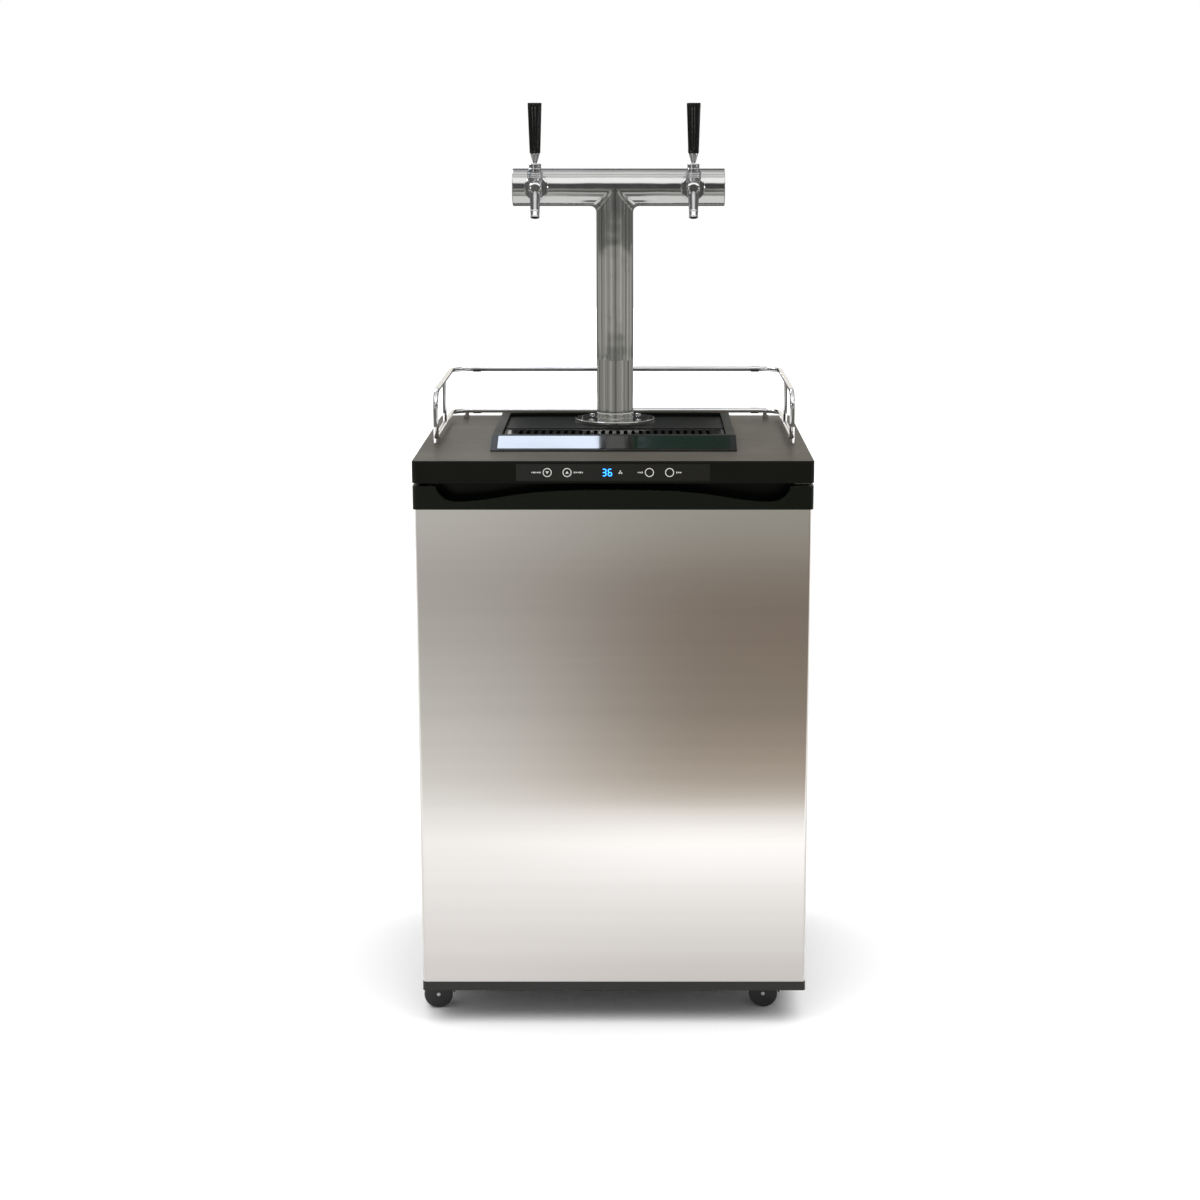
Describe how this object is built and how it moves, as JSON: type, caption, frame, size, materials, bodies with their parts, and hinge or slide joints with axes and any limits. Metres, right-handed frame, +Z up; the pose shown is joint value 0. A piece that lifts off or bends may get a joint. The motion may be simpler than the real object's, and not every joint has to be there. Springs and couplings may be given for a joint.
{
  "type": "kegerator",
  "caption": "Kegerator: insulated cabinet on castors, stainless door, deck with drip tray and guard rail, and a T-shaped beer tower with forward taps",
  "frame": {"origin": "centre of the bounding box's base, on the floor", "axes": "+X to the right seen from the front, -Y out of the door side, +Z up"},
  "size_m": [0.6154, 0.59, 1.432],
  "materials": {
    "black_enamel": "satin",
    "galvanised_steel": "satin",
    "white_liner": "satin",
    "foam": "matte",
    "deck_plastic": "satin",
    "gloss_black": "gloss",
    "circuit_board": "satin",
    "chrome": "polished",
    "tower_steel": "brushed",
    "black_rubber": "matte",
    "clear_tube": "gloss",
    "black_plastic": "satin",
    "aluminium": "satin",
    "copper": "satin",
    "brushed_steel": "brushed",
    "grey_gasket": "matte",
    "cap_plastic": "satin",
    "castor_wheel": "satin"
  },
  "bodies": {
    "cabinet": {"side_panels": "black_enamel", "rear_panel": "galvanised_steel", "base_pan": "black_enamel", "inner_liner": "white_liner", "insulation_foam": "foam", "top_cover": "deck_plastic", "tray_front_strip": "gloss_black", "control_panel": "gloss_black", "control_board": "circuit_board", "guard_rail_sides": "chrome", "guard_rail_back": "chrome", "tower_gasket": "black_rubber", "tower_flange": "tower_steel", "tower_tee": "tower_steel", "tbar_end_caps": "tower_steel", "tap_shanks": "chrome", "shank_collars": "chrome", "tap_nuts": "chrome", "tap_bodies": "chrome", "beer_lines": "clear_tube", "keg_disconnects": "black_plastic", "line_clips": "white_liner", "fan_housing": "white_liner", "evaporator_plate": "aluminium", "floor_plate": "galvanised_steel", "compressor": "black_enamel", "condenser": "black_enamel", "refrigerant_pipes": "copper", "gas_grommet": "black_rubber", "power_inlet": "black_plastic", "castor_plates": "galvanised_steel", "hinge_brackets": "galvanised_steel", "fixing_screws": "chrome"},
    "door": {"door_skin": "brushed_steel", "door_foam": "foam", "door_inner_panel": "white_liner", "door_gasket": "grey_gasket", "door_handle_cap": "cap_plastic", "door_bottom_trim": "black_plastic"},
    "tap_pull_left": {"tap_lever_left": "chrome", "tap_handle_left": "black_plastic"},
    "shuttle_left": {"tap_shuttle_left": "chrome"},
    "tap_pull_right": {"tap_lever_right": "chrome", "tap_handle_right": "black_plastic"},
    "shuttle_right": {"tap_shuttle_right": "chrome"},
    "button_cooler": {"button_cooler": "gloss_black"},
    "button_warmer": {"button_warmer": "gloss_black"},
    "button_light": {"button_light": "gloss_black"},
    "button_power": {"button_power": "gloss_black"},
    "drip_tray": {"drip_tray": "black_plastic"},
    "tray_grille": {"tray_grille": "gloss_black"},
    "fan_rotor": {"fan_rotor": "black_plastic"},
    "castor_front_left": {"castor_hood_front_left": "black_plastic"},
    "wheels_front_left": {"castor_wheels_front_left": "castor_wheel"},
    "castor_front_right": {"castor_hood_front_right": "black_plastic"},
    "wheels_front_right": {"castor_wheels_front_right": "castor_wheel"},
    "castor_rear_left": {"castor_hood_rear_left": "black_plastic"},
    "wheels_rear_left": {"castor_wheels_rear_left": "castor_wheel"},
    "castor_rear_right": {"castor_hood_rear_right": "black_plastic"},
    "wheels_rear_right": {"castor_wheels_rear_right": "castor_wheel"}
  },
  "joints": [
    {"name": "door_swing", "type": "hinge", "parent": "cabinet", "child": "door", "pos_m": [0.29, -0.268, 0.45], "axis": [0, 0, 1], "range_deg": [0, 120]},
    {"name": "tap_left_pull", "type": "hinge", "parent": "cabinet", "child": "tap_pull_left", "pos_m": [-0.1263, -0.001, 1.331], "axis": [1, 0, 0], "range_deg": [0, 30]},
    {"name": "tap_left_shuttle", "type": "slide", "parent": "cabinet", "child": "shuttle_left", "axis": [0, 1, 0], "range_m": [0, 0.0061]},
    {"name": "tap_right_pull", "type": "hinge", "parent": "cabinet", "child": "tap_pull_right", "pos_m": [0.1263, -0.001, 1.331], "axis": [1, 0, 0], "range_deg": [0, 30]},
    {"name": "tap_right_shuttle", "type": "slide", "parent": "cabinet", "child": "shuttle_right", "axis": [0, 1, 0], "range_m": [0, 0.0061]},
    {"name": "press_cooler", "type": "slide", "parent": "cabinet", "child": "button_cooler", "axis": [0, 1, 0], "range_m": [0, 0.0008], "stiffness_N_per_m": 800},
    {"name": "press_warmer", "type": "slide", "parent": "cabinet", "child": "button_warmer", "axis": [0, 1, 0], "range_m": [0, 0.0008], "stiffness_N_per_m": 800},
    {"name": "press_light", "type": "slide", "parent": "cabinet", "child": "button_light", "axis": [0, 1, 0], "range_m": [0, 0.0008], "stiffness_N_per_m": 800},
    {"name": "press_power", "type": "slide", "parent": "cabinet", "child": "button_power", "axis": [0, 1, 0], "range_m": [0, 0.0008], "stiffness_N_per_m": 800},
    {"name": "tray_lift", "type": "slide", "parent": "cabinet", "child": "drip_tray", "axis": [0, 0, 1], "range_m": [0, 0.06]},
    {"name": "grille_lift", "type": "slide", "parent": "drip_tray", "child": "tray_grille", "axis": [0, 0, 1], "range_m": [0, 0.03]},
    {"name": "fan_spin", "type": "hinge", "parent": "cabinet", "child": "fan_rotor", "pos_m": [0.12, 0.192, 0.742], "axis": [0, 1, 0], "continuous": true},
    {"name": "swivel_front_left", "type": "hinge", "parent": "cabinet", "child": "castor_front_left", "pos_m": [-0.263, -0.207, 0.05], "axis": [0, 0, 1], "continuous": true},
    {"name": "roll_front_left", "type": "hinge", "parent": "castor_front_left", "child": "wheels_front_left", "pos_m": [-0.28495, -0.20853, 0.023], "axis": [-0.0698, 0.9976, 0], "continuous": true},
    {"name": "swivel_front_right", "type": "hinge", "parent": "cabinet", "child": "castor_front_right", "pos_m": [0.263, -0.207, 0.05], "axis": [0, 0, 1], "continuous": true},
    {"name": "roll_front_right", "type": "hinge", "parent": "castor_front_right", "child": "wheels_front_right", "pos_m": [0.24108, -0.20508, 0.023], "axis": [0.0872, 0.9962, 0], "continuous": true},
    {"name": "swivel_rear_left", "type": "hinge", "parent": "cabinet", "child": "castor_rear_left", "pos_m": [-0.263, 0.215, 0.05], "axis": [0, 0, 1], "continuous": true},
    {"name": "roll_rear_left", "type": "hinge", "parent": "castor_rear_left", "child": "wheels_rear_left", "pos_m": [-0.2834, 0.22324, 0.023], "axis": [0.3746, 0.9272, 0], "continuous": true},
    {"name": "swivel_rear_right", "type": "hinge", "parent": "cabinet", "child": "castor_rear_right", "pos_m": [0.263, 0.215, 0.05], "axis": [0, 0, 1], "continuous": true},
    {"name": "roll_rear_right", "type": "hinge", "parent": "castor_rear_right", "child": "wheels_rear_right", "pos_m": [0.24185, 0.20894, 0.023], "axis": [-0.2756, 0.9613, 0], "continuous": true}
  ],
  "couplings": [
    {"joint": "tap_left_shuttle", "follows": "tap_left_pull", "m_per_rad": 0.01146},
    {"joint": "tap_right_shuttle", "follows": "tap_right_pull", "m_per_rad": 0.01146}
  ]
}
